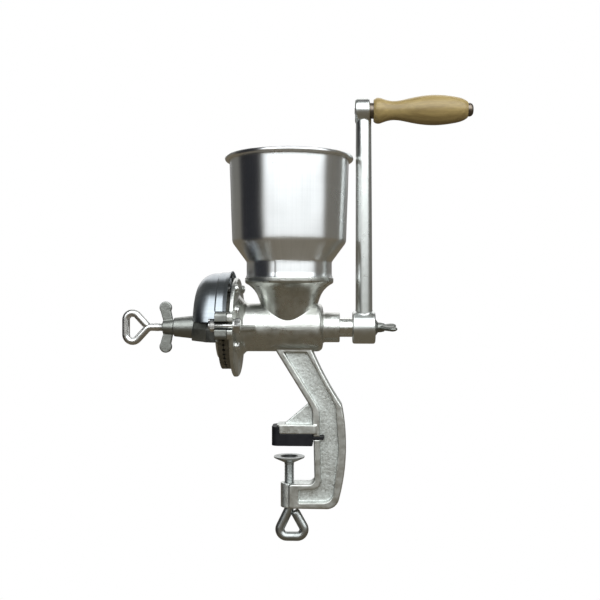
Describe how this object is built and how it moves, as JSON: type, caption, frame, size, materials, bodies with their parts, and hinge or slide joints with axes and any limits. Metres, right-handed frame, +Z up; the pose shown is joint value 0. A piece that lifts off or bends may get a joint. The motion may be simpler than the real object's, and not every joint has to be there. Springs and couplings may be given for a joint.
{
  "type": "hand grain mill",
  "caption": "Clamp-on hand grain mill: a cast body with a tall sheet hopper, a feed screw turning one burr against another, and a long crank with a wooden grip.",
  "frame": {"origin": "underside of the jaw's rubber pad, on the clamp screw's axis, where the mill sits on a table", "axes": "+X along the main shaft towards the crank, +Z up, the crank standing straight up at rest"},
  "size_m": [0.362, 0.132, 0.4571],
  "materials": {
    "tinned_casting": "tin-plated grey iron casting, satin",
    "tinned_sheet": "bright tinplate, spun and drawn",
    "burr_iron": "hard grey iron, oiled",
    "plated_steel": "plated steel",
    "bright_steel": "bright steel",
    "black_rubber": "moulded rubber, matt",
    "pale_wood": "turned pale wood, clear lacquer",
    "dark_steel": "blackened steel"
  },
  "bodies": {
    "body": {"mill_body": "tinned_casting", "rubber_pad": "black_rubber", "stationary_burr": "burr_iron", "burr_screws": "plated_steel", "adjusting_yoke": "tinned_casting", "yoke_bolts": "plated_steel", "yoke_washers": "plated_steel", "yoke_nuts": "plated_steel", "burr_shield": "tinned_sheet", "shield_screws": "plated_steel"},
    "hopper": {"hopper": "tinned_sheet"},
    "thrust_ball": {"thrust_ball": "bright_steel"},
    "rotor": {"auger_shaft": "tinned_casting", "rotating_burr": "burr_iron", "burr_carrier": "tinned_casting", "burr_drive_pins": "bright_steel", "carrier_pin": "bright_steel", "crank_arm": "tinned_casting", "grip_bolt": "dark_steel", "grip_collar": "dark_steel"},
    "adjusting_screw": {"adjusting_screw": "plated_steel"},
    "lock_wing_nut": {"lock_wing_nut": "tinned_casting"},
    "crank_wing_screw": {"crank_wing_screw": "tinned_casting"},
    "wooden_grip": {"wooden_grip": "pale_wood"},
    "clamp_pad": {"clamp_pad": "plated_steel"},
    "clamp_screw": {"clamp_screw": "plated_steel"}
  },
  "joints": [
    {"name": "hopper_lift", "type": "slide", "parent": "body", "child": "hopper", "axis": [0, 0, 1], "range_m": [0, 0.06]},
    {"name": "burr_adjust", "type": "slide", "parent": "body", "child": "thrust_ball", "axis": [1, 0, 0], "range_m": [-0.0018, 0.0005]},
    {"name": "crank_turn", "type": "hinge", "parent": "thrust_ball", "child": "rotor", "pos_m": [0, 0, 0.1202], "axis": [1, 0, 0], "continuous": true},
    {"name": "adjusting_screw_turn", "type": "hinge", "parent": "thrust_ball", "child": "adjusting_screw", "pos_m": [-0.1, 0, 0.1202], "axis": [1, 0, 0], "range_deg": [-540, 146]},
    {"name": "lock_nut_turn", "type": "hinge", "parent": "body", "child": "lock_wing_nut", "pos_m": [-0.125, 0, 0.1202], "axis": [1, 0, 0], "range_deg": [-360, 0]},
    {"name": "crank_wing_turn", "type": "hinge", "parent": "rotor", "child": "crank_wing_screw", "pos_m": [0.09, 0, 0.1202], "axis": [1, 0, 0], "range_deg": [0, 360]},
    {"name": "grip_turn", "type": "hinge", "parent": "rotor", "child": "wooden_grip", "pos_m": [0.13, 0, 0.3422], "axis": [1, 0, 0], "continuous": true},
    {"name": "clamp_slide", "type": "slide", "parent": "body", "child": "clamp_pad", "axis": [0, 0, 1], "range_m": [-0.0196, 0]},
    {"name": "clamp_screw_turn", "type": "hinge", "parent": "clamp_pad", "child": "clamp_screw", "pos_m": [0, 0, -0.04], "axis": [0, 0, 1], "range_deg": [-4680, 0]}
  ],
  "couplings": [
    {"joint": "adjusting_screw_turn", "follows": "burr_adjust", "rad_per_m": 5026.5},
    {"joint": "clamp_slide", "follows": "clamp_screw_turn", "m_per_rad": 0.00023873}
  ]
}
